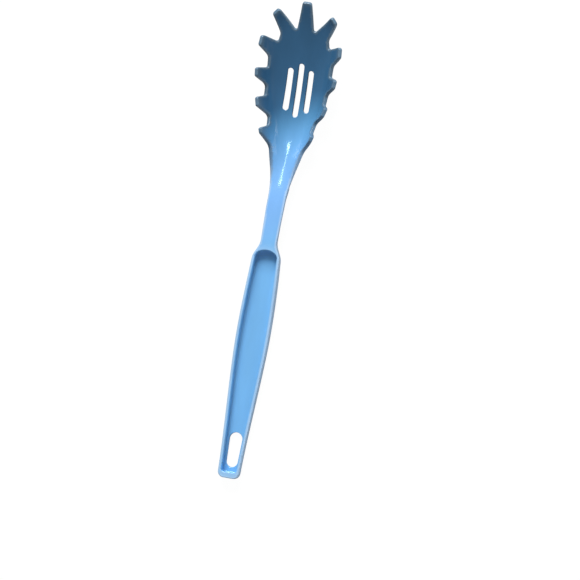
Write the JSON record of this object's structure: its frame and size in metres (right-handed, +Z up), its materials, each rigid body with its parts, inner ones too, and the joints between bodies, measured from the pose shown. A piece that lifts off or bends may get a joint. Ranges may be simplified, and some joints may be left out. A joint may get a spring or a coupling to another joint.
{
  "type": "pasta server",
  "caption": "One-piece moulded pasta server: dished, toothed head with drain slots, slim neck, and a trough handle with a hang slot.",
  "frame": {"origin": "on the surface that it lies on, at the middle of its footprint", "axes": "+X along the tool from the butt of the handle to the tip tooth, +Z up out of the bowl's hollow side"},
  "size_m": [0.321, 0.0574, 0.0282],
  "materials": {
    "blue_plastic": "gloss"
  },
  "bodies": {
    "root": {"pasta_server": "blue_plastic"}
  },
  "joints": []
}
